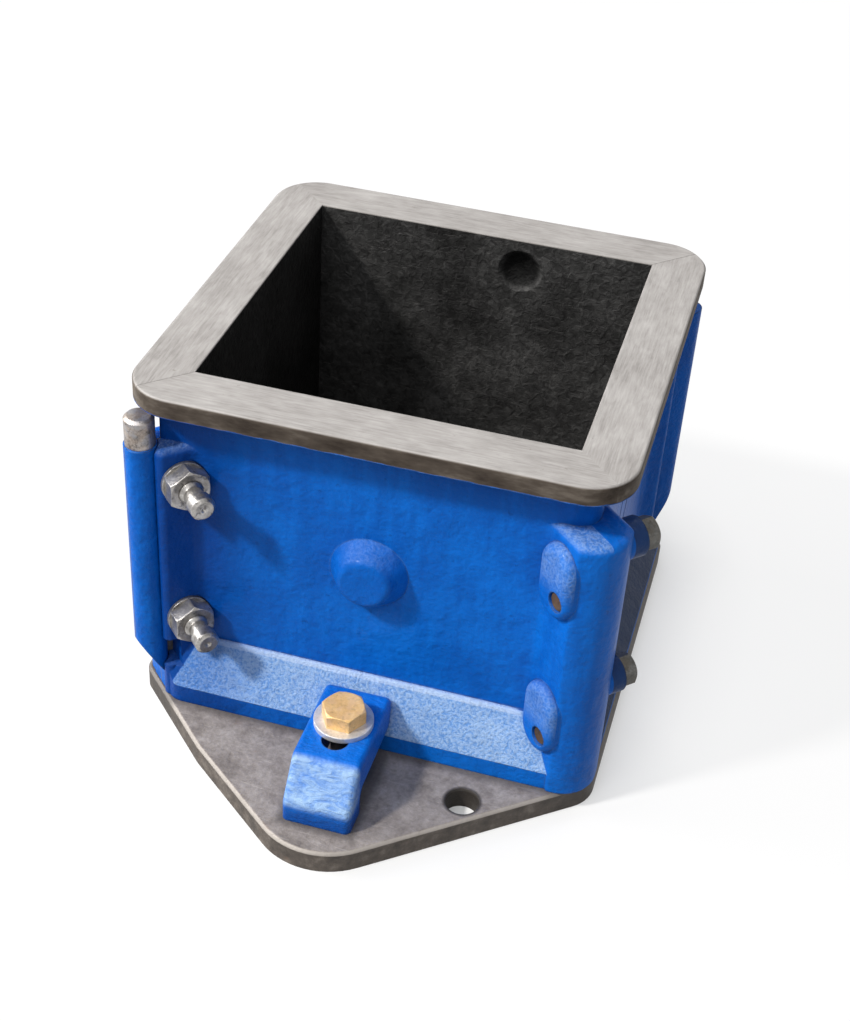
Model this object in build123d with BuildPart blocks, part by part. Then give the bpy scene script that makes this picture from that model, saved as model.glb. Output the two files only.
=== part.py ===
"""Cast-iron mould for one 150 mm concrete test cube.

A base plate with two ears carries four wall castings.  The walls are joined in two
L-shaped halves by dark hex bolts, the halves are drawn together at two opposite corners
by studs with nuts, and a bolted clamp at the front and at the rear holds each foot down.

Millimetres, +Z up, the front clamp towards -Y.  The origin is the centre of the plate's
underside.
"""
import os
from math import cos, pi, sqrt

from build123d import *

os.makedirs("parts", exist_ok=True)

# Cavity and base plate
cube_side = 150.0
plate_thickness = 10.0
plate_margin = 1.0
plate_corner_radius = 16.0
plate_cut_length = 7.3
plate_cut_share = 0.39
plate_bevel = 1.2
ear_root_inset = 8.9
ear_length = 80.0
ear_tip_radius = 31.0
mounting_hole_radius = 7.0
mounting_hole_side_inset = 47.7
mounting_hole_inset = 53.8

# Wall castings
rim_width = 22.7
rim_height = 8.0
rim_round_radius = 20.0
foot_corner_chamfer = 18.0
foot_chamfer_round = 8.0
rim_edge = 0.8
panel_thickness = 10.7
neck_corner_radius = 9.0
clamp_foot_height = 8.0
clamp_slope_rise = 21.0
plain_foot_height = 2.5
plain_slope_rise = 10.5
slope_lip = 1.5
slope_lip_round = 1.0
column_top_drop = 26.0
shelf_radius = 3.5
fin_root_radius = 8.0
parting_gap = 0.2

# Round marks on the walls
boss_height = 9.0
boss_base_radius = 16.0
boss_top_radius = 10.3
boss_round = 3.5
boss_drop = 69.0
ring_drop = 74.0
ring_radius = 11.0
ring_width = 2.0
ring_depth = 0.8
dimple_x = 17.5
dimple_drop = 15.0
dimple_radius = 10.0
dimple_depth = 4.0

# Corners where two walls are bolted and dowelled into one half
post_outset = 1.0
post_corner_radius = 15.0
clamp_post_thickness = 12.0
plain_post_thickness = 14.5
post_ridge_radius = 2.0
joint_bolt_inset = 19.17
joint_bolt_drops = (36.5, 105.0)
joint_bolt_radius = 4.0
joint_head_across = 12.0
joint_head_height = 6.5
joint_seat_radius = 8.0
joint_seat_offset = 21.0
joint_bolt_depth = 10.0
joint_hole_spare = 1.5
joint_mound_radius = 10.0
joint_mound_drop = 4.0
joint_mound_length = 12.5
joint_mound_offset = 16.0
joint_mound_round = 3.4
bolt_clearance = 0.5
dowel_drop = 17.0
dowel_outset = 3.5
dowel_radius = 4.0
dowel_depth = 9.0
dowel_recess = 0.8
dowel_spare = 0.3
dowel_chamfer = 0.6

# Corners where the halves part
stud_fin_thickness = 10.0
stud_fin_edge = 9.9
stud_fin_round = 3.0
stud_inset = 21.57
stud_drops = (41.0, 108.0)
stud_radius = 5.0
stud_clearance = 0.2
stud_depth = 8.5
stud_neck_radius = 3.8
stud_neck_length = 6.5
stud_end_length = 6.0
stud_end_chamfer = 1.2
stud_washer_radius = 9.0
stud_washer_thickness = 1.6
stud_nut_across = 16.0
stud_nut_height = 7.0
stud_thread_over = 0.5
spot_face_clearance = 0.6
pry_notch_depth = 6.5
pry_notch_bottom = 16.0
pry_notch_height = 14.0

# Barrel and pin
barrel_spacing = 12.7
barrel_radius = 6.6
barrel_gap = 0.35
barrel_nose_low = 10.0
barrel_nose_high = 28.0
barrel_nose_edge = 0.3
pin_radius = 4.0
pin_depth = 55.0
pin_seat_gap = 0.5
pin_head_radius = 6.0
pin_head_height = 13.0
pin_head_chamfer = 1.2

# Clamps
clamp_width = 28.0
clamp_bolt_inset = 55.8
clamp_heel_reach = 34.0
clamp_heel_length = 13.0
clamp_heel_height = 9.0
clamp_facet_length = 12.0
clamp_arch_height = 12.0
clamp_top_height = 25.5
clamp_toe_height = 5.2
clamp_toe_gap = 0.3
clamp_nose_radius = 6.0
clamp_toe_radius = 3.0
clamp_arch_radius = 5.0
clamp_side_round = 2.5
clamp_slot_width = 11.0
clamp_slot_inward = 7.4
clamp_slot_outward = 10.5
clamp_bolt_radius = 5.0
clamp_bolt_across = 16.0
clamp_bolt_head = 6.4
clamp_bolt_end = 0.5
clamp_washer_radius = 12.0
clamp_washer_thickness = 2.5
washer_clearance = 0.25

# Fits and thread ends
thread_gap = 0.05
running_gap = 0.05
thread_chamfer = 1.0
hex_bevel = 0.577
same_place = 1e-4

# Places that follow from the sizes
cavity_half = cube_side / 2
rim_half = cavity_half + rim_width
panel_half = cavity_half + panel_thickness
plate_half = rim_half + plate_margin
ear_root = rim_half - ear_root_inset
ear_tip = ear_root + ear_length
plate_top = plate_thickness
rim_top = plate_top + cube_side
rim_bottom = rim_top - rim_height
column_top = rim_top - column_top_drop
post_half = rim_half + post_outset
inner_diagonal = cavity_half
far_diagonal = 2 * rim_half
joint_bolt_diagonal = rim_half * sqrt(2) - joint_bolt_inset
dowel_diagonal = joint_bolt_diagonal + dowel_outset
stud_diagonal = rim_half * sqrt(2) - stud_inset
foot_chamfer_diagonal = (2 * rim_half - foot_corner_chamfer) / sqrt(2)
stud_fin_tip = stud_diagonal + stud_fin_edge
barrel_diagonal = stud_diagonal + barrel_spacing
stud_nut_seat = stud_fin_thickness + stud_washer_thickness
stud_neck_start = stud_nut_seat + stud_nut_height + stud_thread_over
stud_reach = stud_neck_start + stud_neck_length + stud_end_length
mounting_hole_x = plate_half - mounting_hole_side_inset
mounting_hole_y = ear_tip - mounting_hole_inset
plate_cut_start = ear_root - plate_cut_length
plate_cut_end = (plate_half * (1 - plate_cut_share), ear_root + ear_length * plate_cut_share)
clamp_bolt_distance = ear_tip - clamp_bolt_inset
slope_run = rim_half - panel_half - slope_lip
dimple_ball = (dimple_radius**2 + dimple_depth**2) / (2 * dimple_depth)

# Corners, by the signs of x and y
FRONT_LEFT = (-1, -1)
FRONT_RIGHT = (1, -1)
REAR_RIGHT = (1, 1)
REAR_LEFT = (-1, 1)


def at_corner(corner, diagonal, offset):
    """Plan point at a distance out along a corner's diagonal, set off from it to its left."""
    x, y = corner
    return ((diagonal * x - offset * y) / sqrt(2), (diagonal * y + offset * x) / sqrt(2))


def bolt_frame(corner, diagonal, height, side):
    """Frame on the joint of a corner, x up and z along the bolt: side +1 is to the diagonal's left."""
    return Plane(
        origin=(*at_corner(corner, diagonal, 0), height),
        x_dir=(0, 0, 1),
        z_dir=(*at_corner(corner, 0, side), 0),
    )


def wedge(first, first_gap, second, second_gap):
    """Plan points of the sector between two corner diagonals, clear of each by its gap."""
    return [
        at_corner(first, inner_diagonal, first_gap),
        at_corner(first, far_diagonal, first_gap),
        at_corner(second, far_diagonal, -second_gap),
        at_corner(second, inner_diagonal, -second_gap),
    ]


def off_bolted_diagonal(v):
    """Distance of a plan point from the diagonal through the two bolted corners."""
    return abs(v.X + v.Y) / sqrt(2)


def on_panel_face(v):
    """Whether a plan point lies on the outer face of a panel."""
    return abs(max(abs(v.X), abs(v.Y)) - panel_half) < same_place


def vertex_at(sketch, point):
    """The vertex of a sketch nearest to a point of its plane."""
    return sketch.vertices().sort_by_distance((*point, 0))[0]


# The outline of the rim, and that of the feet, which is cut off where the halves part
with BuildSketch() as rim_outline:
    Rectangle(2 * rim_half, 2 * rim_half)
    fillet(rim_outline.vertices(), rim_round_radius)

with BuildSketch() as foot_outline:
    Rectangle(2 * rim_half, 2 * rim_half)
    fillet(foot_outline.vertices().filter_by(lambda v: v.X * v.Y < 0), rim_round_radius)
    chamfer(foot_outline.vertices().filter_by(lambda v: v.X * v.Y > panel_half**2), foot_corner_chamfer)
    fillet(foot_outline.vertices().filter_by(lambda v: v.X * v.Y > 0), foot_chamfer_round)

# The rim with the plain panels that hang from it, all round
with BuildPart() as shell:
    with BuildSketch(Plane.XY.offset(rim_bottom)):
        add(rim_outline.sketch)
    extrude(amount=rim_height)
    chamfer(shell.faces().sort_by(Axis.Z)[-1].edges(), rim_edge)
    with BuildSketch(Plane.XY.offset(plate_top)) as panel_plan:
        Rectangle(2 * panel_half, 2 * panel_half)
        fillet(panel_plan.vertices().filter_by(lambda v: v.X * v.Y < 0), neck_corner_radius)
    extrude(amount=rim_bottom - plate_top)


def post_plan(thickness):
    """Plan of the posts at the two bolted corners, rounded like the rim above them."""
    with BuildSketch() as plan:
        Rectangle(2 * post_half, 2 * post_half)
        fillet(plan.vertices().filter_by(lambda v: v.X * v.Y < 0), post_corner_radius)
        Rectangle(2 * far_diagonal, 2 * thickness, rotation=-45, mode=Mode.INTERSECT)
        fillet(
            plan.vertices().filter_by(lambda v: abs(off_bolted_diagonal(v) - thickness) < same_place),
            post_ridge_radius,
        )
    return plan.sketch


clamp_posts = post_plan(clamp_post_thickness)
plain_posts = post_plan(plain_post_thickness)

# Corner columns of the clamp walls, with the fins that take the stud nuts
with BuildPart() as clamp_columns:
    with BuildSketch(Plane.XY.offset(plate_top)) as clamp_plan:
        Rectangle(2 * stud_fin_tip, 2 * stud_fin_thickness, rotation=45)
        fillet(clamp_plan.vertices(), stud_fin_round)
        add(clamp_posts)
        Rectangle(2 * panel_half, 2 * panel_half)
        fillet(clamp_plan.vertices().filter_by(on_panel_face), fin_root_radius)
    extrude(amount=column_top - plate_top)
    fillet(clamp_columns.faces().sort_by(Axis.Z)[-1].edges(), shelf_radius)

# Corner columns of the plain walls, with the webs that carry the barrels
with BuildPart() as plain_columns:
    with BuildSketch(Plane.XY.offset(plate_top)) as plain_plan:
        Rectangle(2 * (barrel_diagonal - barrel_radius), 2 * stud_fin_thickness, rotation=45)
        fillet(plain_plan.vertices(), stud_fin_round)
        add(plain_posts)
        Rectangle(2 * panel_half, 2 * panel_half)
        fillet(plain_plan.vertices().filter_by(on_panel_face), fin_root_radius)
    extrude(amount=column_top - plate_top)
    fillet(plain_columns.faces().sort_by(Axis.Z)[-1].edges(), shelf_radius)

# Sloping foot of a clamp wall, in its place at the front, with a narrow lip along its top
with BuildPart() as clamp_foot:
    with BuildSketch(Plane.YZ) as clamp_foot_side:
        with BuildLine():
            Polyline(
                (-cavity_half, plate_top),
                (-rim_half, plate_top),
                (-rim_half, plate_top + clamp_foot_height),
                (-rim_half + slope_run, plate_top + clamp_foot_height + clamp_slope_rise),
                (-cavity_half, plate_top + clamp_foot_height + clamp_slope_rise),
                close=True,
            )
        make_face()
        fillet(clamp_foot_side.vertices().sort_by(Axis.Y)[-2:].sort_by(Axis.X)[:1], slope_lip_round)
    extrude(amount=rim_half, both=True)
    with BuildSketch(Plane.XY.offset(plate_top)):
        add(foot_outline.sketch)
    extrude(amount=cube_side, mode=Mode.INTERSECT)

# Lower foot of a plain wall, in its place at the right
with BuildPart() as plain_foot:
    with BuildSketch(Plane.XZ) as plain_foot_side:
        with BuildLine():
            Polyline(
                (cavity_half, plate_top),
                (rim_half, plate_top),
                (rim_half, plate_top + plain_foot_height),
                (rim_half - slope_run, plate_top + plain_foot_height + plain_slope_rise),
                (cavity_half, plate_top + plain_foot_height + plain_slope_rise),
                close=True,
            )
        make_face()
        fillet(plain_foot_side.vertices().sort_by(Axis.Y)[-2:].sort_by(Axis.X)[-1:], slope_lip_round)
    extrude(amount=rim_half, both=True)
    with BuildSketch(Plane.XY.offset(plate_top)):
        add(foot_outline.sketch)
    extrude(amount=cube_side, mode=Mode.INTERSECT)

# Round boss on the panel of a clamp wall
with BuildPart() as panel_boss:
    with BuildSketch():
        Circle(boss_base_radius)
    with BuildSketch(Plane.XY.offset(boss_height)):
        Circle(boss_top_radius)
    loft()
    fillet(panel_boss.faces().sort_by(Axis.Z)[-1].edges(), boss_round)

# Mound round the end of a joint bolt and the dowel below it, standing on the joint
with BuildPart() as joint_mound:
    with BuildSketch():
        with Locations((-joint_mound_drop - joint_mound_length / 2, 0)):
            SlotCenterToCenter(joint_mound_length, 2 * joint_mound_radius)
    extrude(amount=joint_mound_offset)
    fillet(joint_mound.faces().sort_by(Axis.Z)[-1].edges(), joint_mound_round)

# Clamp wall in its place at the front: stud fin on the left, bolted column on the right
with BuildPart() as front_wall:
    add(shell.part)
    add(clamp_columns.part)
    add(clamp_foot.part)
    with Locations(Plane(origin=(0, -panel_half, rim_top - boss_drop), z_dir=(0, -1, 0))):
        add(panel_boss.part)
    for drop in joint_bolt_drops:
        with Locations(bolt_frame(FRONT_RIGHT, joint_bolt_diagonal, rim_top - drop, -1)):
            add(joint_mound.part)
    with BuildSketch(Plane.XY.offset(plate_top)):
        with BuildLine():
            Polyline(*wedge(FRONT_LEFT, parting_gap / 2, FRONT_RIGHT, 0), close=True)
        make_face()
    extrude(amount=cube_side, mode=Mode.INTERSECT)
    with BuildSketch(Plane.XY.offset(plate_top)):
        Rectangle(cube_side, cube_side)
    extrude(amount=cube_side, mode=Mode.SUBTRACT)
    # Blind tapped holes of the joint bolts and through holes of the dowels
    for drop in joint_bolt_drops:
        with BuildSketch(bolt_frame(FRONT_RIGHT, joint_bolt_diagonal, rim_top - drop, -1)):
            Circle(joint_bolt_radius + thread_gap)
        extrude(amount=joint_bolt_depth + joint_hole_spare, mode=Mode.SUBTRACT)
        with BuildSketch(bolt_frame(FRONT_RIGHT, dowel_diagonal, rim_top - drop - dowel_drop, -1)):
            Circle(dowel_radius + running_gap)
        extrude(amount=joint_mound_offset, mode=Mode.SUBTRACT)
    # Stud holes and their spot faces
    for drop in stud_drops:
        seat = bolt_frame(FRONT_LEFT, stud_diagonal, rim_top - drop, 1)
        with BuildSketch(seat):
            Circle(stud_radius + stud_clearance)
        extrude(amount=stud_reach, mode=Mode.SUBTRACT)
        with BuildSketch(seat.offset(stud_fin_thickness)):
            Circle(stud_washer_radius + spot_face_clearance)
        extrude(amount=stud_reach, mode=Mode.SUBTRACT)
    # Room for the barrel of the other half
    with BuildSketch(Plane.XY.offset(plate_top)):
        with Locations(at_corner(FRONT_LEFT, barrel_diagonal, 0)):
            Circle(barrel_radius + barrel_gap)
    extrude(amount=column_top + barrel_gap - plate_top, mode=Mode.SUBTRACT)
    # Notch in the edge of the fin for a pry bar
    with BuildSketch(Plane(origin=(0, 0, plate_top + pry_notch_bottom), x_dir=(-1, -1, 0), z_dir=(0, 0, 1))):
        with Locations((stud_fin_tip, 0)):
            Rectangle(2 * pry_notch_depth, 4 * stud_fin_thickness)
    extrude(amount=pry_notch_height, mode=Mode.SUBTRACT)

# Plain wall in its place at the right: bolted column in front, barrel behind
with BuildPart() as right_wall:
    add(shell.part)
    add(plain_columns.part)
    add(plain_foot.part)
    with BuildSketch(Plane(origin=(panel_half, 0, rim_top - ring_drop), z_dir=(1, 0, 0))):
        Circle(ring_radius)
        Circle(ring_radius - ring_width, mode=Mode.SUBTRACT)
    extrude(amount=-ring_depth, mode=Mode.SUBTRACT)
    for drop in joint_bolt_drops:
        with BuildSketch(bolt_frame(FRONT_RIGHT, joint_bolt_diagonal, rim_top - drop, 1)):
            Circle(joint_seat_radius)
        extrude(amount=joint_seat_offset)
    with BuildSketch(Plane.XY.offset(plate_top)):
        with BuildLine():
            Polyline(*wedge(FRONT_RIGHT, 0, REAR_RIGHT, parting_gap / 2), close=True)
        make_face()
    extrude(amount=cube_side, mode=Mode.INTERSECT)
    with BuildSketch(Plane.XY.offset(plate_top)):
        Rectangle(cube_side, cube_side)
    extrude(amount=cube_side, mode=Mode.SUBTRACT)
    # Clearance holes of the joint bolts and blind holes of the dowels
    for drop in joint_bolt_drops:
        with BuildSketch(bolt_frame(FRONT_RIGHT, joint_bolt_diagonal, rim_top - drop, 1)):
            Circle(joint_bolt_radius + bolt_clearance)
        extrude(amount=joint_seat_offset, mode=Mode.SUBTRACT)
        with BuildSketch(bolt_frame(FRONT_RIGHT, dowel_diagonal, rim_top - drop - dowel_drop, 1)):
            Circle(dowel_radius + running_gap)
        extrude(amount=dowel_depth + dowel_spare, mode=Mode.SUBTRACT)
    # Barrel at the parting corner: its web, a nose cut back to the foot, and a blind bore
    with BuildSketch(Plane.XY.offset(plate_top)):
        with Locations(at_corner(REAR_RIGHT, barrel_diagonal, 0)):
            Circle(barrel_radius)
        with BuildLine():
            Polyline(
                at_corner(REAR_RIGHT, inner_diagonal * sqrt(2) + panel_thickness, -parting_gap / 2),
                at_corner(REAR_RIGHT, barrel_diagonal, -parting_gap / 2),
                at_corner(REAR_RIGHT, barrel_diagonal, -barrel_radius),
                at_corner(REAR_RIGHT, inner_diagonal * sqrt(2) + panel_thickness, -barrel_radius),
                close=True,
            )
        make_face()
    extrude(amount=column_top - plate_top)
    with BuildSketch(Plane(origin=(0, 0, plate_top), x_dir=(1, 1, 0), z_dir=(1, -1, 0))):
        with BuildLine():
            Polyline(
                (foot_chamfer_diagonal + barrel_nose_edge, 0),
                (far_diagonal, 0),
                (far_diagonal, barrel_nose_high),
                (barrel_diagonal + barrel_radius, barrel_nose_high),
                (foot_chamfer_diagonal + barrel_nose_edge, barrel_nose_low),
                close=True,
            )
        make_face()
    extrude(amount=2 * barrel_radius, both=True, mode=Mode.SUBTRACT)
    with BuildSketch(Plane.XY.offset(column_top)):
        with Locations(at_corner(REAR_RIGHT, barrel_diagonal, 0)):
            Circle(pin_radius + running_gap)
    extrude(amount=-pin_depth - pin_seat_gap, mode=Mode.SUBTRACT)
    # Tapped holes of the studs
    for drop in stud_drops:
        with BuildSketch(bolt_frame(REAR_RIGHT, stud_diagonal, rim_top - drop, -1)):
            Circle(stud_radius + thread_gap)
        extrude(amount=stud_depth, mode=Mode.SUBTRACT)

# The rear clamp wall is the front one turned half round, with a round hollow inside
with BuildPart() as rear_wall:
    add(front_wall.part, rotation=(0, 0, 180))
    with Locations((dimple_x, cavity_half + dimple_depth - dimple_ball, rim_top - dimple_drop)):
        Sphere(dimple_ball, mode=Mode.SUBTRACT)

# The left plain wall is the right one turned half round
with BuildPart() as left_wall:
    add(right_wall.part, rotation=(0, 0, 180))

# Base plate: straight sides, a pointed ear at the front and at the rear, cut off where the halves part
with BuildPart() as base_plate:
    with BuildSketch() as plate_plan:
        with BuildLine():
            Polyline(
                (plate_half, -ear_root),
                (plate_half, plate_cut_start),
                plate_cut_end,
                (0, ear_tip),
                (-plate_half, ear_root),
                (-plate_half, -plate_cut_start),
                (-plate_cut_end[0], -plate_cut_end[1]),
                (0, -ear_tip),
                close=True,
            )
        make_face()
        fillet(plate_plan.vertices().filter_by(lambda v: v.X * v.Y < 0), plate_corner_radius)
        fillet(vertex_at(plate_plan, (0, -ear_tip)), ear_tip_radius)
        fillet(vertex_at(plate_plan, (0, ear_tip)), ear_tip_radius)
        fillet(
            plate_plan.vertices().filter_by(lambda v: v.X * v.Y > 0 and abs(v.X) > plate_half - same_place),
            foot_chamfer_round,
        )
    extrude(amount=plate_thickness)
    chamfer(base_plate.faces().sort_by(Axis.Z)[-1].edges(), plate_bevel)
    with Locations(
        (mounting_hole_x, -mounting_hole_y, plate_top),
        (-mounting_hole_x, mounting_hole_y, plate_top),
    ):
        Hole(mounting_hole_radius)
    with Locations((0, -clamp_bolt_distance, plate_top), (0, clamp_bolt_distance, plate_top)):
        Hole(clamp_bolt_radius + running_gap)

# Front clamp: heel on the plate, arched underneath, toe on the slope of the foot
toe_slope = clamp_slope_rise / slope_run
toe_lift = clamp_toe_gap * sqrt(1 + toe_slope**2)
foot_top = plate_top + clamp_foot_height
toe_bottom = plate_top + clamp_top_height - clamp_toe_height
toe_tip = rim_half - (toe_bottom - toe_lift - foot_top) / toe_slope
heel_end = clamp_bolt_distance + clamp_heel_reach
arch_start = rim_half - (plate_top + clamp_arch_height - toe_lift - foot_top) / toe_slope

clamp_top = plate_top + clamp_top_height
heel_top = (-heel_end, plate_top + clamp_heel_height)
nose_top = (-heel_end + clamp_facet_length, clamp_top)
toe_top = (-toe_tip, clamp_top)
arch_end = (-heel_end + clamp_heel_length, plate_top + clamp_arch_height)

with BuildPart() as front_clamp:
    with BuildSketch(Plane.YZ) as clamp_side:
        with BuildLine():
            Polyline(
                (-heel_end, plate_top),
                heel_top,
                nose_top,
                toe_top,
                (-toe_tip, toe_bottom),
                (-arch_start, plate_top + clamp_arch_height),
                arch_end,
                (-heel_end + clamp_heel_length, plate_top),
                close=True,
            )
        make_face()
        fillet([vertex_at(clamp_side, heel_top), vertex_at(clamp_side, nose_top)], clamp_nose_radius)
        fillet(vertex_at(clamp_side, toe_top), clamp_toe_radius)
        fillet(vertex_at(clamp_side, arch_end), clamp_arch_radius)
    extrude(amount=clamp_width / 2, both=True)
    fillet(front_clamp.faces().sort_by(Axis.Z)[-1].edges().filter_by(Axis.Y), clamp_side_round)
    slot_inner = clamp_bolt_distance - clamp_slot_inward
    slot_outer = clamp_bolt_distance + clamp_slot_outward
    with BuildSketch(Plane.XY.offset(plate_top)):
        with Locations((0, -(slot_inner + slot_outer) / 2)):
            SlotCenterToCenter(slot_outer - slot_inner, clamp_slot_width, rotation=90)
    extrude(amount=clamp_top_height, mode=Mode.SUBTRACT)

with BuildPart() as rear_clamp:
    add(front_clamp.part, rotation=(0, 0, 180))


def hex_profile(across, height):
    """Half section that rounds off the corners of a hexagon's top face."""
    flat = across / 2
    corner = flat / cos(pi / 6)
    bevel = (corner - flat) * hex_bevel
    return [(0, 0), (corner, 0), (corner, height - bevel), (flat, height), (0, height)]


def hex_bolt(across, head_height, radius, length):
    """Hex bolt with the underside of its head at the origin and its shank down -Z."""
    with BuildPart() as bolt:
        with BuildSketch():
            RegularPolygon(across / 2, 6, major_radius=False)
        extrude(amount=head_height)
        with BuildSketch(Plane.XZ):
            with BuildLine():
                Polyline(*hex_profile(across, head_height), close=True)
            make_face()
        revolve(axis=Axis.Z, mode=Mode.INTERSECT)
        with BuildSketch():
            Circle(radius)
        extrude(amount=-length)
        chamfer(bolt.faces().sort_by(Axis.Z)[0].edges(), thread_chamfer)
    return bolt.part


def washer(radius, thickness, hole):
    """Flat washer standing on the origin."""
    with BuildPart() as ring:
        with BuildSketch():
            Circle(radius)
            Circle(hole, mode=Mode.SUBTRACT)
        extrude(amount=thickness)
    return ring.part


def place(label, solid, frame):
    """Write one standard piece, standing in the given frame."""
    with BuildPart() as piece:
        with Locations(frame):
            add(solid)
    piece.part.label = label
    export_step(piece.part, f"parts/{label}.step")


# Stud: threaded root, plain shank, narrow neck and a chamfered end with a centre mark
with BuildPart() as stud:
    with BuildSketch(Plane.XZ):
        with BuildLine():
            Polyline(
                (0, -stud_depth),
                (stud_radius - thread_chamfer, -stud_depth),
                (stud_radius, -stud_depth + thread_chamfer),
                (stud_radius, stud_neck_start),
                (stud_neck_radius, stud_neck_start + stud_radius - stud_neck_radius),
                (stud_neck_radius, stud_reach - stud_end_length),
                (stud_radius, stud_reach - stud_end_length),
                (stud_radius, stud_reach - stud_end_chamfer),
                (stud_radius - stud_end_chamfer, stud_reach),
                (stud_end_chamfer, stud_reach),
                (0, stud_reach - stud_end_chamfer),
                close=True,
            )
        make_face()
    revolve(axis=Axis.Z)

# Stud nut, standing on its washer
with BuildPart() as stud_nut:
    with BuildSketch():
        RegularPolygon(stud_nut_across / 2, 6, major_radius=False)
    extrude(amount=stud_nut_height)
    with BuildSketch(Plane.XZ):
        with BuildLine():
            Polyline(*hex_profile(stud_nut_across, stud_nut_height), close=True)
        make_face()
    revolve(axis=Axis.Z, mode=Mode.INTERSECT)
    with BuildSketch():
        Circle(stud_radius + running_gap)
    extrude(amount=stud_nut_height, mode=Mode.SUBTRACT)

# Dowel, with the joint between the walls at its origin and its outer end up
with BuildPart() as dowel:
    with BuildSketch(Plane.XY.offset(-dowel_depth)):
        Circle(dowel_radius)
    extrude(amount=dowel_depth + joint_mound_offset - dowel_recess)
    chamfer(dowel.edges().filter_by(GeomType.CIRCLE), dowel_chamfer)

# Headed pin in the barrel of the front left corner
with BuildPart() as corner_pin:
    pin_place = at_corner(FRONT_LEFT, barrel_diagonal, 0)
    with BuildSketch(Plane.XY.offset(column_top)):
        with Locations(pin_place):
            Circle(pin_radius)
    extrude(amount=-pin_depth)
    chamfer(corner_pin.faces().sort_by(Axis.Z)[0].edges(), thread_chamfer)
    with BuildSketch(Plane.XY.offset(column_top)):
        with Locations(pin_place):
            Circle(pin_head_radius)
    extrude(amount=pin_head_height)
    chamfer(corner_pin.faces().sort_by(Axis.Z)[-1].edges(), pin_head_chamfer)

large_pieces = {
    "base_plate": base_plate,
    "front_wall": front_wall,
    "rear_wall": rear_wall,
    "right_wall": right_wall,
    "left_wall": left_wall,
    "front_clamp": front_clamp,
    "rear_clamp": rear_clamp,
    "corner_pin": corner_pin,
}
for label, piece in large_pieces.items():
    piece.part.label = label
    export_step(piece.part, f"parts/{label}.step")

# Clamp bolts and washers
clamp_bolt = hex_bolt(
    clamp_bolt_across,
    clamp_bolt_head,
    clamp_bolt_radius,
    clamp_top + clamp_washer_thickness - clamp_bolt_end,
)
clamp_washer = washer(clamp_washer_radius, clamp_washer_thickness, clamp_bolt_radius + washer_clearance)
for end, y in (("front", -clamp_bolt_distance), ("rear", clamp_bolt_distance)):
    place(f"{end}_clamp_washer", clamp_washer, Plane(origin=(0, y, clamp_top)))
    place(f"{end}_clamp_bolt", clamp_bolt, Plane(origin=(0, y, clamp_top + clamp_washer_thickness)))

# Joint bolts of the two halves, heads on the plain walls, and their dowels
joint_bolt = hex_bolt(
    joint_head_across,
    joint_head_height,
    joint_bolt_radius,
    joint_seat_offset + joint_bolt_depth,
)
for end, corner in (("front", FRONT_RIGHT), ("rear", REAR_LEFT)):
    for level, drop in zip(("upper", "lower"), joint_bolt_drops):
        seat = bolt_frame(corner, joint_bolt_diagonal, rim_top - drop, 1)
        place(f"{end}_joint_bolt_{level}", joint_bolt, seat.offset(joint_seat_offset))
        place(
            f"{end}_dowel_{level}",
            dowel.part,
            bolt_frame(corner, dowel_diagonal, rim_top - drop - dowel_drop, -1),
        )

# Studs, washers and nuts of the parting corners, nuts on the clamp walls
stud_washer = washer(stud_washer_radius, stud_washer_thickness, stud_radius + washer_clearance)
for end, corner in (("front", FRONT_LEFT), ("rear", REAR_RIGHT)):
    for level, drop in zip(("upper", "lower"), stud_drops):
        seat = bolt_frame(corner, stud_diagonal, rim_top - drop, 1)
        place(f"{end}_stud_{level}", stud.part, seat)
        place(f"{end}_stud_washer_{level}", stud_washer, seat.offset(stud_fin_thickness))
        place(
            f"{end}_stud_nut_{level}",
            stud_nut.part,
            seat.offset(stud_nut_seat),
        )
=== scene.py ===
"""Looks of the cast-iron cube mould: enamelled walls, ground rim, oiled cavity, bare plate and
plated fasteners.

Every CAD node keeps its shape.  The finishes are worked out from Object coordinates, in metres.
"""

from functools import reduce
from math import radians

import bpy
from mathutils import Matrix, Vector


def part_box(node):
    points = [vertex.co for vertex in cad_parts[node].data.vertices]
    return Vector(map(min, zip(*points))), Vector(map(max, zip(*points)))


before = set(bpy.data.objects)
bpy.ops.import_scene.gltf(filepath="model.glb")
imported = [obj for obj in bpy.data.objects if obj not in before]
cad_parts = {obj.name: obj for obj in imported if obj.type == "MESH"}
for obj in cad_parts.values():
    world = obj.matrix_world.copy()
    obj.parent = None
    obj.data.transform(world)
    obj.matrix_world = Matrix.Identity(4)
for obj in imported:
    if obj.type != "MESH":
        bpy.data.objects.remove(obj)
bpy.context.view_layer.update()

# Places on the castings, in metres
RIM_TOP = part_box("front_wall")[1].z
PLATE_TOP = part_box("base_plate")[1].z
CLAMP_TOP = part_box("front_clamp")[1].z
CLAMP_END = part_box("rear_clamp")[1].y
CLAMP_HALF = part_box("front_clamp")[1].x
RIM_BOTTOM = RIM_TOP - 0.008
RIM_EDGE = 0.0008
RIM_HALF = 0.0977
CAVITY_HALF = 0.075
INSIDE_DEPTH = 0.006
PANEL_HALF = 0.0857
SLOPE_RUN = 0.0105
CLAMP_FOOT, CLAMP_RISE = PLATE_TOP + 0.008, 0.021
PLAIN_FOOT, PLAIN_RISE = PLATE_TOP + 0.0025, 0.0105
SLOT_HALF = 0.0053
SLOT_INSET = 0.0180
NOSE_LENGTH = 0.0120
HOLE_X, HOLE_Y, HOLE_RADIUS = 0.051, 0.115, 0.007

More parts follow.
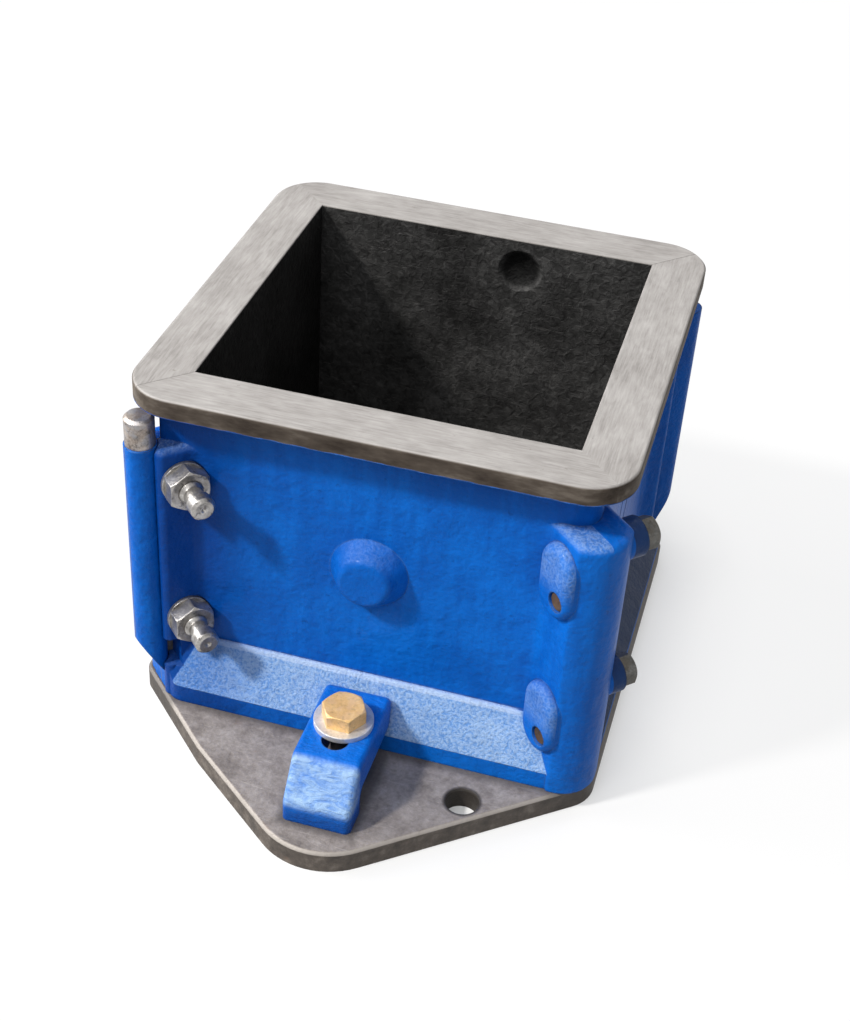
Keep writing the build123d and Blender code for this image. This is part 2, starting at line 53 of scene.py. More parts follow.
# Mounds and bolt seats of a bolted corner: how far off its diagonal, and between which heights
MOUND_STRIP = (0.0126, 0.0165)
MOUND_TOPS = ((0.050, 0.061), (0.118, 0.130))
MOUND_FADE = 0.012
UPPER_MOUND = (0.112, 0.130)
SEAT_STRIP = (0.0150, 0.0212)
SEAT_LEVELS = ((0.0470, 0.0630), (0.1155, 0.1315))

# Rises that pick out the right wall by x, the front right corner by x less y, and the corners
# with studs by x times y
RIGHT_WALL = (0.080, 0.084)
FRONT_RIGHT = (0.1400, 0.1440)
STUD_CORNERS = (0.0026, 0.0062)

# Paint, from clean to dirty and painted shade, and on to painted highlights
BLUE = (0.002, 0.136, 0.58)
DEEP_BLUE = (0.0012, 0.098, 0.455)
# Painted shade for hollows, stud corners and the clamps' heels
PAINTED_SHADE_BLUE = (0.001, 0.040, 0.235)
DIRTY_BLUE = (0.002, 0.030, 0.16)
# Darker patches low down, and painted shade below the rim
DARK_PATCH_AND_SHADE_BLUE = (0.004, 0.022, 0.085)
# Painted highlights: edges, the slope's sparkle and its lip, mounds, up-facing faces and the
# clamps' noses
HIGHLIGHT_BLUE = (0.16, 0.34, 0.68)
SPARKLE_HIGHLIGHT_BLUE = (0.36, 0.53, 0.80)
LIP_HIGHLIGHT = (0.56, 0.70, 0.92)
NOSE_HIGHLIGHT = (0.33, 0.49, 0.70)

# Dirt, rust, cavity black and painted shade
# Grime of chips and soil, and the painted shade inside the clamp's slot and on the bolt shank in it
GRIME_AND_SHADE = (0.030, 0.026, 0.022)
PLATE_SHADE = (0.028, 0.023, 0.019)
SEAT_SHADE = (0.020, 0.030, 0.055)
RIGHT_FOOT_SHADE = (0.024, 0.025, 0.029)
CAVITY_BLACK = (0.004, 0.004, 0.004)
RIM_SPOT = (0.17, 0.145, 0.125)
PLATE_BLOT = (0.110, 0.090, 0.078)
RUST = (0.17, 0.078, 0.036)

# Bare iron: scratches, the plate's bevel, and tones from dark to light as the stops of a ramp
CAVITY_SCRATCH = (0.13, 0.125, 0.12)
PLATE_SCRATCH = (0.42, 0.385, 0.36)
PLATE_BEVEL = (0.42, 0.385, 0.35)
RIM_TOP_TONES = (
    (0.30, (0.225, 0.210, 0.200)),
    (0.47, (0.348, 0.330, 0.317)),
    (0.64, (0.455, 0.436, 0.422)),
)
RIM_SIDE_TONES = (
    (0.32, (0.040, 0.031, 0.025)),
    (0.52, (0.085, 0.069, 0.056)),
    (0.70, (0.17, 0.145, 0.120)),
)
CAVITY_TONES = (
    (0.36, (0.019, 0.0187, 0.0184)),
    (0.52, (0.044, 0.0434, 0.0428)),
    (0.66, (0.088, 0.0865, 0.085)),
)
JOINT_TONES = (
    (0.35, (0.12, 0.112, 0.104)),
    (0.65, (0.27, 0.258, 0.245)),
)
PLATE_TOP_TONES = (
    (0.34, (0.125, 0.107, 0.095)),
    (0.48, (0.245, 0.215, 0.196)),
    (0.62, (0.370, 0.334, 0.310)),
)
PLATE_EDGE_TONES = (
    (0.32, (0.040, 0.032, 0.026)),
    (0.55, (0.092, 0.075, 0.062)),
    (0.74, (0.19, 0.163, 0.138)),
)

# Camera and lamps; the camera's lens is longer than the photograph's, to fill the frame
IMAGE_WIDTH, IMAGE_HEIGHT = 850, 1021
PHOTO_FOCAL_PIXELS, ZOOM = 678.0, 2.5
SENSOR_WIDTH = 36.0
LIT_PLACE = (0, 0, 0.08)
FLOOR_HALF = 6.0


class Value:
    """One output socket; arithmetic on it adds Math nodes to its finish."""

    def __init__(self, finish, socket):
        self.finish = finish
        self.socket = socket

    def math(self, operation, first, second=0.0):
        return self.finish.node("ShaderNodeMath", {"operation": operation}, {0: first, 1: second})

    def __add__(self, other):
        return self.math("ADD", self, other)

    def __sub__(self, other):
        return self.math("SUBTRACT", self, other)

    def __rsub__(self, other):
        return self.math("SUBTRACT", other, self)

    def __mul__(self, other):
        return self.math("MULTIPLY", self, other)

    def __abs__(self):
        return self.math("ABSOLUTE", self)

    __radd__ = __add__
    __rmul__ = __mul__

    def greatest(self, other):
        return self.math("MAXIMUM", self, other)

    def step(self, low, high):
        """0 below low, 1 above high, and a smooth rise between them."""
        return self.finish.node(
            "ShaderNodeMapRange",
            {"interpolation_type": "SMOOTHSTEP"},
            {"Value": self, "From Min": low, "From Max": high},
        )

    def band(self, low, high, edge):
        """1 between low and high, falling to 0 over the edge outside them."""
        return self.step(low - edge, low) * (1 - self.step(high, high + edge))

    def bands(self, spans, edge):
        """1 in any of several bands."""
        return reduce(Value.greatest, (self.band(low, high, edge) for low, high in spans))


class Nodes:
    """The node tree of a material or a world, cleared and filled by expressions."""

    def __init__(self, owner):
        owner.use_nodes = True
        self.owner = owner
        self.tree = owner.node_tree
        self.tree.nodes.clear()

    def node(self, kind, settings, inputs, output=0):
        """Add a node, set its properties, then its sockets, and give one of its outputs."""
        made = self.tree.nodes.new(kind)
        for key, value in settings.items():
            if key == "stops":
                ramp = made.color_ramp
                while len(ramp.elements) < len(value):
                    ramp.elements.new(1.0)
                for element, (position, colour) in zip(ramp.elements, value):
                    element.position = position
                    element.color = (*colour, 1.0)
            else:
                setattr(made, key, value)
        for key, value in inputs.items():
            if isinstance(value, Value):
                self.tree.links.new(value.socket, made.inputs[key])
            else:
                made.inputs[key].default_value = value
        return Value(self, made.outputs[output]) if len(made.outputs) else None

    def seen(self):
        """1 for what the camera sees, mirrored or through glass too, 0 for light on the object."""
        kinds = ("Camera", "Glossy", "Transmission")
        rays = (self.node("ShaderNodeLightPath", {}, {}, f"Is {kind} Ray") for kind in kinds)
        return reduce(Value.greatest, rays)


class Finish(Nodes):
    """A material that reads Object coordinates."""

    def __init__(self, name):
        super().__init__(bpy.data.materials.new(name))
        self.place = self.node("ShaderNodeTexCoord", {}, {}, "Object")
        self.x, self.y, self.z = self.parts(self.place)

    def parts(self, vector):
        return (self.node("ShaderNodeSeparateXYZ", {}, {0: vector}, axis) for axis in "XYZ")

    def scaled(self, size, stretch, offset):
        """Object coordinates counted in features of a size, longer along a stretched axis."""
        scale = [1 / (size * s) for s in stretch]
        inputs = {"Vector": self.place, "Location": offset, "Scale": scale}
        return self.node("ShaderNodeMapping", {}, inputs)

    def noise(self, size, detail=3.0, rough=0.55, stretch=(1, 1, 1), offset=(0, 0, 0), swirl=0.0):
        """Cloudy values about 0.5 with features of a size in metres."""
        inputs = {
            "Vector": self.scaled(size, stretch, offset),
            "Scale": 1.0,
            "Detail": detail,
            "Roughness": rough,
            "Distortion": swirl,
        }
        return self.node("ShaderNodeTexNoise", {}, inputs)

    def ramp(self, value, *stops):
        return self.node("ShaderNodeValToRGB", {"stops": stops}, {"Fac": value}, "Color")

    def mix(self, share, first, second):
        """First colour where share is 0, second where it is 1."""
        first, second = ((*c, 1.0) if isinstance(c, tuple) else c for c in (first, second))
        inputs = {"Factor": share, 6: first, 7: second}
        return self.node("ShaderNodeMix", {"data_type": "RGBA"}, inputs, 2)

    def blend(self, share, first, second):
        """The same for plain values."""
        inputs = {"Factor": share, 2: first, 3: second}
        return self.node("ShaderNodeMix", {"data_type": "FLOAT"}, inputs, 0)

    def rounded(self, radius, share=1.0):
        """Normal with the sharp edges rounded over, as thick paint or worn edges are, by a share.
        """
        self.own = self.node("ShaderNodeNewGeometry", {}, {}, "Normal")
        bevel = self.node("ShaderNodeBevel", {"samples": 5}, {"Radius": radius})
        inputs = {"Factor": share, 4: self.own, 5: bevel}
        return self.node("ShaderNodeMix", {"data_type": "VECTOR"}, inputs, 1)

    def hollows(self, depth):
        """1 deep in a concave corner of the piece, 0 on its open faces."""
        settings = {"samples": 4, "only_local": True}
        light = self.node("ShaderNodeAmbientOcclusion", settings, {"Distance": depth}, "AO")
        return 1 - light.step(0.30, 0.92)

    def edges(self, rounded):
        """1 along sharp edges, where the rounded normal leaves the surface's own."""
        pair = {0: self.own, 1: rounded}
        along = self.node("ShaderNodeVectorMath", {"operation": "DOT_PRODUCT"}, pair, "Value")
        return (1 - along).step(0.02, 0.16)

    def surface(self, rounded, lift, **sockets):
        """Close the finish with one shader, its normal tilted by a lift in metres."""
        bump = {"Height": lift, "Distance": 1.0, "Strength": 1.0, "Normal": rounded}
        sockets["Normal"] = self.node("ShaderNodeBump", {}, bump)
        named = {key.replace("_", " "): value for key, value in sockets.items()}
        shader = self.node("ShaderNodeBsdfPrincipled", {}, named)
        self.node("ShaderNodeOutputMaterial", {}, {"Surface": shader})
        return self.owner


class WallFinish(Finish):
    """A finish that also reads a point's place on the square of walls.

    It reads how far out the point is, its distance off the walls' mitres, on which side of the
    parting it lies, positive towards the parting corners and negative towards the bolted ones,
    and its distance off the bolted corners' diagonal.
    """

    def __init__(self, name):
        super().__init__(name)
        self.far = abs(self.x).greatest(abs(self.y))
        self.off_seam = abs(abs(self.x) - abs(self.y))
        self.parting = self.x * self.y
        self.off_joint = abs(self.x + self.y) * 0.5 ** 0.5


def enamel(f, rounded):
    """Blue enamel over cast skin, with worn chips and a painted highlight along its edges: colour,
    roughness and lift.
    """
    cloud = f.noise(0.040, 4.0)
    skin = f.noise(0.0024, 5.0, 0.65)
    orange_peel = f.noise(0.0055, 2.0)
    waves = f.noise(0.017, 2.0, 0.5, offset=(7, 3, 1))
    streaks = f.noise(0.0050, 3.0, 0.6, stretch=(1, 1, 7), offset=(5, 0, 2))
    edges = f.edges(rounded)
    chips = (edges * 0.55 + f.noise(0.0042, 4.0, 0.65, offset=(4, 1, 7))).step(0.98, 1.04)
    dirt = f.noise(0.0032, 3.0, offset=(3, 1, 2)).step(0.64, 0.76)
    colour = f.mix((cloud * 0.5 + streaks * 0.3 + skin * 0.2).step(0.40, 0.60), DEEP_BLUE, BLUE)
    # Painted highlight along the edges
    colour = f.mix(edges * 0.40, colour, HIGHLIGHT_BLUE)
    colour = f.mix(dirt * 0.40, colour, DIRTY_BLUE)
    colour = f.mix(chips * 0.8, colour, GRIME_AND_SHADE)
    roughness = 0.30 + 0.16 * cloud + 0.12 * skin + 0.25 * chips
    lift = skin * 0.00050 + orange_peel * 0.00060 + waves * 0.0014 - chips * 0.00008
    return colour, roughness, lift


def wall_paint(f, rounded, foot, rise, mounds):
    """Enamel of a wall with painted shade, painted highlights and darker patches: colour, roughness
    and lift.

    The slope is what lies on the plane of the sloping foot, and its lip the edge above it.  A
    clamp wall has mounds beside its bolted joint, a plain wall bolt seats.
    """
    colour, roughness, lift = enamel(f, rounded)

    # Painted shade in the hollows, and round the studs where the fin shades the panel
    hollow_and_stud_shade = f.hollows(0.009) * 0.75
    if mounds:
        hollow_and_stud_shade = hollow_and_stud_shade.greatest(f.parting.step(*STUD_CORNERS) * 0.85)

    # Painted highlight, a pale sparkle, on the slope and its lip, and on a clamp wall's mounds and
    # what faces up
    off_slope = abs(f.far + (f.z - foot) * (SLOPE_RUN / rise) - RIM_HALF)
    slope = (1 - off_slope.step(0.0003, 0.0007)) * f.z.band(foot + 0.0003, foot + rise, 0.0003)
    slope = slope * f.off_seam.step(0.0165, 0.0172)
    lip = f.z.band(foot + rise - 0.0016, foot + rise + 0.0004, 0.0004)
    lip = lip * f.far.band(PANEL_HALF + 0.0004, PANEL_HALF + 0.0024, 0.0003)
    lip = lip * f.off_seam.step(0.020, 0.024)
    grain = f.noise(0.0012, 5.0, 0.7)
    highlight_patches = f.noise(0.018, 4.0, 0.6, offset=(2, 2, 5)).step(0.30, 0.70)
    highlight_grain = highlight_patches * 0.22 + grain.step(0.32, 0.68) * 0.78
    share = (slope * (0.76 + 0.22 * highlight_grain)).greatest(lip * (0.80 + 0.20 * highlight_grain))
    if mounds:
        _, _, facing_up = f.parts(rounded)
        up = facing_up.step(0.30, 0.95) * (0.16 + 0.40 * f.z.step(*UPPER_MOUND))
        proud = f.off_joint.band(*MOUND_STRIP, 0.0004)
        proud = proud * f.far.step(PANEL_HALF + 0.0017, PANEL_HALF + 0.0023)
        proud = proud * f.z.bands(MOUND_TOPS, MOUND_FADE) * (1 - f.parting.step(0.0, 0.0001))
        share = share.greatest(up.greatest(proud * 0.36) * (0.4 + 0.6 * highlight_grain))
    else:
        # Painted shade on the right wall's foot and on the bolt seats of its front right corner
        foot_shade_mask = slope * f.x.step(*RIGHT_WALL)
        seat_shade_mask = f.off_joint.band(*SEAT_STRIP, 0.0004) * (f.x - f.y).step(*FRONT_RIGHT)
        seat_shade_mask = seat_shade_mask * f.z.bands(SEAT_LEVELS, 0.001)
        seat_shade_mask = seat_shade_mask * f.far.step(PANEL_HALF + 0.0006, PANEL_HALF + 0.0016)
        # Darken the foot and the seats to a painted shade, and take the painted highlight off the
        # foot
        colour = f.mix(foot_shade_mask * 0.9, colour, RIGHT_FOOT_SHADE)
        colour = f.mix(seat_shade_mask * 0.80, colour, SEAT_SHADE)
        share = share * (1 - foot_shade_mask * 0.95)
    # Darken the hollows and stud corners to the painted shade, less on the slope
    colour = f.mix(hollow_and_stud_shade * (1 - 0.85 * slope), colour, PAINTED_SHADE_BLUE)
    # Mix in the painted highlight
    pale = f.mix(highlight_grain.step(0.05, 0.75), HIGHLIGHT_BLUE, SPARKLE_HIGHLIGHT_BLUE)
    pale = f.mix(lip * 0.7, pale, LIP_HIGHLIGHT)
    colour = f.mix(share * (1 - hollow_and_stud_shade * 0.55), colour, pale)

    # Darker patches low down, and painted shade in patches just below the rim
    low = 1 - f.z.step(PLATE_TOP, PLATE_TOP + 0.030)
    low = low * f.noise(0.011, 4.0, 0.6, offset=(1, 6, 3)).step(0.48, 0.70)
    # Painted shade below the rim's overhang
    high = f.z.step(RIM_BOTTOM - 0.010, RIM_BOTTOM)
    high = high * f.noise(0.009, 4.0, 0.6, offset=(8, 2, 3)).step(0.42, 0.70)
    colour = f.mix(low * 0.20 + high * 0.45, colour, DARK_PATCH_AND_SHADE_BLUE)
    return colour, roughness - 0.04 * share, lift + share * grain * 0.00060


def ground_iron(f, along, ground):
    """Bare ground iron: colour of the rim, colour of a joint face, roughness and lift.

    Grinding marks run along an axis, 0 for x and 1 for y, and the rim's sides are left dark.
    """
    marks_stretch = [14 if axis == along else 1 for axis in range(3)]
    smears_stretch = [3 if axis == along else 1 for axis in range(3)]
    marks = f.noise(0.0007, 3.0, 0.6, marks_stretch)
    smears = f.noise(0.0045, 4.0, 0.6, smears_stretch, (2, 5, 1), swirl=0.6)
    stain = f.noise(0.026, 4.0, 0.6, offset=(1, 5, 2))
    spots = f.noise(0.0050, 4.0, 0.65, offset=(6, 3, 8)).step(0.66, 0.74)
    top_colour = f.ramp(marks * 0.40 + smears * 0.30 + stain * 0.30, *RIM_TOP_TONES)
    top_colour = f.mix(spots * 0.40, top_colour, RIM_SPOT)
    side_colour = f.ramp(f.noise(0.008, 4.0, 0.65, smears_stretch, (4, 2, 0)), *RIM_SIDE_TONES)
    rim_colour = f.mix(ground, side_colour, top_colour)
    joint_colour = f.ramp(marks * 0.5 + stain * 0.5, *JOINT_TONES)
    roughness = 0.56 + 0.20 * marks + 0.10 * spots
    lift = marks * 0.00005 + smears * 0.00006
    return rim_colour, joint_colour, roughness, lift


def cavity_skin(f, mounds):
    """A dark, oiled film over a rippled, scratched cast skin: colour, roughness and lift.

    A clamp wall's round hollow is painted black as shade in the recess, and a plain wall is black
    all over.
    """
    ripple = f.noise(0.0032, 3.0, 0.6, swirl=0.8)
    film = f.noise(0.034, 4.0, 0.6, offset=(2, 7, 1))
    scratches = f.noise(0.0010, 2.0, 0.6, (9, 9, 1), (3, 3, 9), swirl=1.2).step(0.62, 0.72)
    # Painted shade in a clamp wall's round hollow; a plain wall is black all over
    cavity_black = f.far.step(CAVITY_HALF + 0.0002, CAVITY_HALF + 0.0022) * 0.85 if mounds else 0.72
    colour = f.ramp(ripple * 0.50 + film * 0.50, *CAVITY_TONES)
    colour = f.mix(scratches * 0.25, colour, CAVITY_SCRATCH)
    colour = f.mix(cavity_black, colour, CAVITY_BLACK)
    return colour, 0.34 + 0.30 * film, ripple * 0.00085 - scratches * 0.00008


def wall_finish(name, along, foot, rise, mounds):
    """Painted casting with a ground rim, an oiled cavity and bare joint faces.

    The rim is what stands above the paint line, the ground face its top, the cavity what lies
    within the cube's sides or in the hollow behind them, and a joint face what lies on the
    diagonal of a parting corner, seen when the halves part.
    """
    f = WallFinish(name)
    rounded = f.rounded(0.0011, f.off_seam.step(0.0018, 0.0024))
    line = f.z + 0.0010 * f.noise(0.006, 3.0, 0.6)
    rim = line.step(RIM_BOTTOM + 0.0006, RIM_BOTTOM + 0.0011)
    ground = f.z.step(RIM_TOP - RIM_EDGE, RIM_TOP - 0.2 * RIM_EDGE)
    deepest = CAVITY_HALF + INSIDE_DEPTH
    inside = (1 - f.far.step(deepest, deepest + 0.0003)) * (1 - ground)
    joint = (1 - f.off_seam.step(0.0002, 0.0004)) * f.parting.step(0.0, 0.0001) * (1 - ground)
    bare = rim.greatest(joint)

    colour, roughness, lift = wall_paint(f, rounded, foot, rise, mounds)
    rim_colour, joint_colour, bare_roughness, bare_lift = ground_iron(f, along, ground)
    cavity_colour, cavity_roughness, cavity_lift = cavity_skin(f, mounds)
    colour = f.mix(rim, colour, rim_colour)
    colour = f.mix(inside, colour, cavity_colour)
    colour = f.mix(joint, colour, joint_colour)
    roughness = f.blend(inside, f.blend(bare, roughness, bare_roughness), cavity_roughness)
    lift = f.blend(inside, f.blend(bare, lift, bare_lift), cavity_lift)
    return f.surface(
        rounded,
        lift,
        Base_Color=colour,
        Roughness=roughness,
        Metallic=(bare * 0.25).greatest(inside * 0.2),
        Coat_Weight=0.06 * (1 - bare.greatest(inside)),
        Coat_Roughness=0.15,
        Specular_IOR_Level=0.08,
    )


def clamp_finish(name):
    """Enamel brushed thickly on a small casting, with a painted highlight where it slopes to its
    heel.
    """
    f = Finish(name)
    rounded = f.rounded(0.0010)
    colour, roughness, lift = enamel(f, rounded)
    brush = f.noise(0.0034, 4.0, 0.62, stretch=(3.5, 1, 1.2), offset=(1, 2, 3), swirl=1.6)
    patches = f.noise(0.0100, 4.0, 0.6, offset=(6, 6, 1)).step(0.34, 0.66)
    nose_start = CLAMP_END - NOSE_LENGTH
    nose = abs(f.y).step(nose_start - 0.0015, nose_start + 0.0015)
    nose = nose * f.z.step(PLATE_TOP + 0.006, PLATE_TOP + 0.010)
    nose_highlight_share = nose * (0.20 + 0.32 * patches + 0.44 * brush.step(0.36, 0.64))
    heel = 1 - f.z.step(PLATE_TOP + 0.002, PLATE_TOP + 0.010)
    slot_end = CLAMP_END - SLOT_INSET
    slot = 1 - abs(f.x).step(SLOT_HALF, SLOT_HALF + 0.0003)
    slot = slot * (1 - abs(f.y).step(slot_end - 0.0002, slot_end + 0.0002))
    slot = slot * (1 - f.z.step(CLAMP_TOP - 0.0012, CLAMP_TOP - 0.0004))
    # Painted highlight on the nose, in patches and brush strokes
    colour = f.mix(nose_highlight_share, colour, NOSE_HIGHLIGHT)
    # Painted shade on the heel's low face and in the clamp's hollows
    colour = f.mix((heel * 0.65).greatest(f.hollows(0.006) * 0.7), colour, PAINTED_SHADE_BLUE)
    # Painted shade inside the bolt's slot
    colour = f.mix(slot * 0.8, colour, GRIME_AND_SHADE)
    return f.surface(
        rounded,
        lift + brush * 0.00080,
        Base_Color=colour,
        Roughness=roughness * 0.85,
        Coat_Weight=0.15,
        Coat_Roughness=0.12,
        Specular_IOR_Level=0.15,
    )


def plate_finish(name):
    """Bare iron plate: worn, stained top with a bright bevel, dark edges and holes, some rust."""
    f = Finish(name)
    rounded = f.rounded(0.0006)
    far = abs(f.x).greatest(abs(f.y))
    stain = f.noise(0.026, 5.0, 0.62)
    mottle = f.noise(0.0060, 5.0, 0.68, offset=(3, 4, 8))
    pits = f.noise(0.0016, 4.0, 0.65, offset=(2, 9, 4))
    scratches = f.noise(0.0012, 3.0, 0.6, (12, 1.5, 1), (4, 0, 6), swirl=0.9).step(0.60, 0.74)
    blots = f.noise(0.0085, 4.0, 0.65, offset=(5, 3, 1)).step(0.54, 0.72)
    rust = f.noise(0.012, 4.0, 0.7, offset=(9, 1, 4)).step(0.60, 0.78)
    top = f.z.step(PLATE_TOP - 0.0013, PLATE_TOP - 0.0002)
    bevel = f.z.band(PLATE_TOP - 0.0012, PLATE_TOP - 0.0003, 0.0003)
    face = f.ramp(stain * 0.35 + mottle * 0.40 + pits * 0.25, *PLATE_TOP_TONES)
    face = f.mix(blots * 0.45, face, PLATE_BLOT)
    face = f.mix(scratches * 0.35, face, PLATE_SCRATCH)
    colour = f.mix(top, f.ramp(f.noise(0.006, 4.0, 0.65), *PLATE_EDGE_TONES), face)
    colour = f.mix(bevel * 0.6, colour, PLATE_BEVEL)
    colour = f.mix(rust * 0.35, colour, RUST)

    # Painted shade, mottled, beside the feet, round the clamps and inside the table bolts' holes
    beside_clamp = (abs(f.x) - CLAMP_HALF).greatest(abs(f.y) - CLAMP_END)
    dirt = (1 - (far - RIM_HALF).step(0.0, 0.006)).greatest(1 - beside_clamp.step(0.0, 0.005))
    dirt = dirt * (0.35 + 0.5 * mottle)
    for x, y in ((HOLE_X, -HOLE_Y), (-HOLE_X, HOLE_Y)):
        dx, dy = f.x - x, f.y - y
        edge = (HOLE_RADIUS + 0.0002) ** 2, (HOLE_RADIUS + 0.0016) ** 2
        dirt = dirt.greatest(0.85 - 0.85 * (dx * dx + dy * dy).step(*edge))
    # Darken to the painted shade
    colour = f.mix(dirt, colour, PLATE_SHADE)
    return f.surface(
        rounded,
        mottle * 0.00022 + pits * 0.00022 - blots * 0.00008 - scratches * 0.00005,
        Base_Color=colour,
        Roughness=0.50 + 0.20 * stain + 0.12 * blots,
        Metallic=0.22 - 0.15 * rust,
    )


def metal_finish(name, tones, roughness, metallic, dirt, grime=GRIME_AND_SHADE, tint=None, hidden_below=None):
    """Forged or turned fastener: three tones of metal with fine marks, dirt and bright edges.

    A second tint may cloud it, and below a height the shank is painted near black, a painted shade
    where it stands hidden in the clamp's slot.
    """
    f = Finish(name)
    rounded = f.rounded(0.0006)
    cloud = f.noise(0.0060, 4.0, 0.6)
    fine = f.noise(0.0008, 3.0, 0.6)
    soil = f.noise(0.0026, 4.0, 0.65, offset=(7, 2, 5)).step(0.52, 0.70) * dirt
    bright = tuple(min(1.0, 1.4 * c) for c in tones[-1])
    colour = f.ramp(cloud * 0.65 + fine * 0.35, *zip((0.34, 0.50, 0.66), tones))
    if tint:
        clouded = f.noise(0.004, 2.0, offset=(3, 8, 2)).step(0.42, 0.66) * 0.55
        colour = f.mix(clouded, colour, tint)
    colour = f.mix(soil, colour, grime)
    colour = f.mix(f.edges(rounded) * (1 - soil) * 0.35, colour, bright)
    # Painted shade on the shank hidden below a height
    if hidden_below:
        soil = soil.greatest(1 - f.z.step(hidden_below, hidden_below + 0.0003))
        colour = f.mix(soil, colour, GRIME_AND_SHADE)
    return f.surface(
        rounded,
        fine * 0.00005 + cloud * 0.00014 + soil * 0.00005,
        Base_Color=colour,
        Roughness=roughness + 0.14 * cloud + 0.25 * soil,
        Metallic=metallic * (1 - 0.7 * soil),
    )


clamp_wall = wall_finish("clamp_wall_enamel", 0, CLAMP_FOOT, CLAMP_RISE, mounds=True)
plain_wall = wall_finish("plain_wall_enamel", 1, PLAIN_FOOT, PLAIN_RISE, mounds=False)
clamp_enamel = clamp_finish("clamp_enamel")
plate_iron = plate_finish("plate_iron")
zinc = metal_finish(
    "dull_zinc",
    ((0.19, 0.18, 0.17), (0.34, 0.325, 0.31), (0.52, 0.505, 0.48)),
    roughness=0.24,
    metallic=0.85,
    dirt=0.75,
)
pin_steel = metal_finish(
    "pin_steel",
    ((0.20, 0.165, 0.14), (0.34, 0.29, 0.255), (0.50, 0.45, 0.41)),
    roughness=0.30,
    metallic=0.70,
    dirt=0.70,
    tint=(0.30, 0.32, 0.36),
)
washer_zinc = metal_finish(
    "washer_zinc",
    ((0.52, 0.51, 0.49), (0.66, 0.65, 0.63), (0.78, 0.77, 0.75)),
    roughness=0.32,
    metallic=0.55,
    dirt=0.15,
)
yellow_zinc = metal_finish(
    "yellow_zinc",
    ((0.66, 0.38, 0.14), (0.82, 0.51, 0.20), (0.92, 0.63, 0.31)),
    roughness=0.30,
    metallic=0.30,
    dirt=0.16,
    grime=(0.26, 0.135, 0.055),
    tint=(0.78, 0.50, 0.27),
    hidden_below=CLAMP_TOP,
)
bolt_steel = metal_finish(
    "bolt_steel",
    ((0.045, 0.044, 0.040), (0.095, 0.093, 0.086), (0.19, 0.187, 0.175)),
    roughness=0.34,
    metallic=0.50,
    dirt=0.55,
    grime=(0.040, 0.028, 0.018),
    tint=(0.085, 0.068, 0.048),
)
rusty_steel = metal_finish(
    "rusty_steel",
    ((0.034, 0.021, 0.012), (0.070, 0.041, 0.021), (0.13, 0.078, 0.040)),
    roughness=0.50,
    metallic=0.25,
    dirt=0.80,
    grime=(0.032, 0.018, 0.009),
    tint=(0.100, 0.048, 0.020),
)

# The first of these that is part of a node's name gives its finish
finishes = (
    ("_clamp_bolt", yellow_zinc),
    ("_clamp_washer", washer_zinc),
    ("_clamp", clamp_enamel),
    ("_joint_bolt_", bolt_steel),
    ("_dowel_", rusty_steel),
    ("_stud", zinc),
    ("corner_pin", pin_steel),
    ("base_plate", plate_iron),
    ("front_wall", clamp_wall),
    ("rear_wall", clamp_wall),
    ("_wall", plain_wall),
)
for label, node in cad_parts.items():
    node.data.materials.clear()
    node.data.materials.append(next(finish for part, finish in finishes if part in label))

scene = bpy.context.scene
scene.view_settings.view_transform = "Standard"

# White floor that keeps the shadow, darkest where the plate stands on it
corners = [(x * FLOOR_HALF, y * FLOOR_HALF, 0) for x, y in ((-1, -1), (1, -1), (1, 1), (-1, 1))]
floor_mesh = bpy.data.meshes.new("floor")
floor_mesh.from_pydata(corners, [], [(0, 1, 2, 3)])
floor = bpy.data.objects.new("floor", floor_mesh)
scene.collection.objects.link(floor)
paper = Finish("white_floor")
seen = paper.seen()
open_sky = paper.node("ShaderNodeAmbientOcclusion", {"samples": 8}, {"Distance": 0.05}, "AO")
lit = paper.node("ShaderNodeBsdfDiffuse", {}, {"Color": 0.30 + 0.50 * seen})
glow = paper.node("ShaderNodeEmission", {}, {"Color": (1, 1, 1, 1), "Strength": 1.0})
mixed = paper.node("ShaderNodeMixShader", {}, {0: seen * open_sky * 0.84, 1: lit, 2: glow})
paper.node("ShaderNodeOutputMaterial", {}, {"Surface": mixed})
floor_mesh.materials.append(paper.owner)

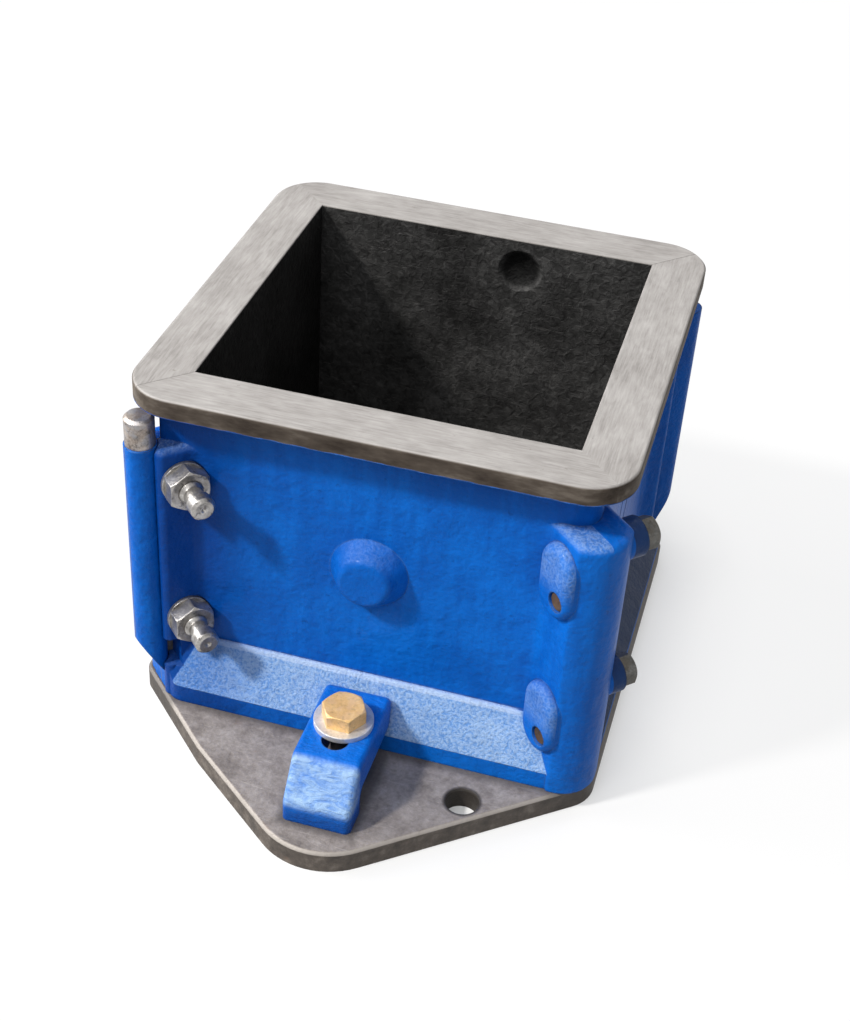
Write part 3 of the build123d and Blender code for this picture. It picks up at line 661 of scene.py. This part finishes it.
# Sky: dim even light, plain white wherever it is seen or mirrored
scene.world = bpy.data.worlds.new("sky")
sky = Nodes(scene.world)
even = sky.node("ShaderNodeBackground", {}, {"Color": (0.93, 0.96, 1.0, 1), "Strength": 0.32})
white = sky.node("ShaderNodeBackground", {}, {"Color": (1, 1, 1, 1), "Strength": 1.0})
mixed = sky.node("ShaderNodeMixShader", {}, {0: sky.seen(), 1: even, 2: white})
sky.node("ShaderNodeOutputWorld", {}, {"Surface": mixed})


def hang(lamp, place):
    """Hang a lamp at a place, turned to the middle of the mould."""
    thing = bpy.data.objects.new(lamp.name, lamp)
    thing.location = place
    thing.rotation_mode = "QUATERNION"
    thing.rotation_quaternion = (Vector(LIT_PLACE) - Vector(place)).to_track_quat("-Z", "Y")
    scene.collection.objects.link(thing)


sun = bpy.data.lights.new("sun", "SUN")
sun.energy = 2.9
sun.angle = radians(6)
sun.color = (1.0, 0.975, 0.94)
hang(sun, (-1.1, -0.85, 1.5))

for label, place, size, energy in (
    ("front_panel", (-0.10, -1.0, 1.25), 0.8, 6.5),
    ("left_panel", (-1.3, -0.1, 0.7), 0.8, 15.0),
    ("back_panel", (0.5, 1.3, 1.2), 1.0, 3.0),
):
    lamp = bpy.data.lights.new(label, "AREA")
    lamp.shape = "DISK"
    lamp.size = size
    lamp.energy = energy
    hang(lamp, place)

# Camera: the photograph's place and tilt, turned to the middle of the mould and zoomed in on it
eye = Vector((0.14134, -0.58124, 0.50518))
photo_forward = Vector((-0.33632, 0.75141, -0.5677))
photo_up = Vector((-0.19569, 0.53389, 0.8226))
middle = Vector((0.004, -0.017, 0.074))
forward = (middle - eye).normalized()
right = forward.cross(photo_forward.rotation_difference(forward) @ photo_up).normalized()
up = right.cross(forward)
camera = bpy.data.cameras.new("camera")
camera.sensor_width = SENSOR_WIDTH
camera.lens = PHOTO_FOCAL_PIXELS * ZOOM / max(IMAGE_WIDTH, IMAGE_HEIGHT) * SENSOR_WIDTH
camera.clip_start = 0.01
viewer = bpy.data.objects.new("camera", camera)
viewer.matrix_world = Matrix.Translation(eye) @ Matrix((right, up, -forward)).transposed().to_4x4()
scene.collection.objects.link(viewer)
scene.camera = viewer
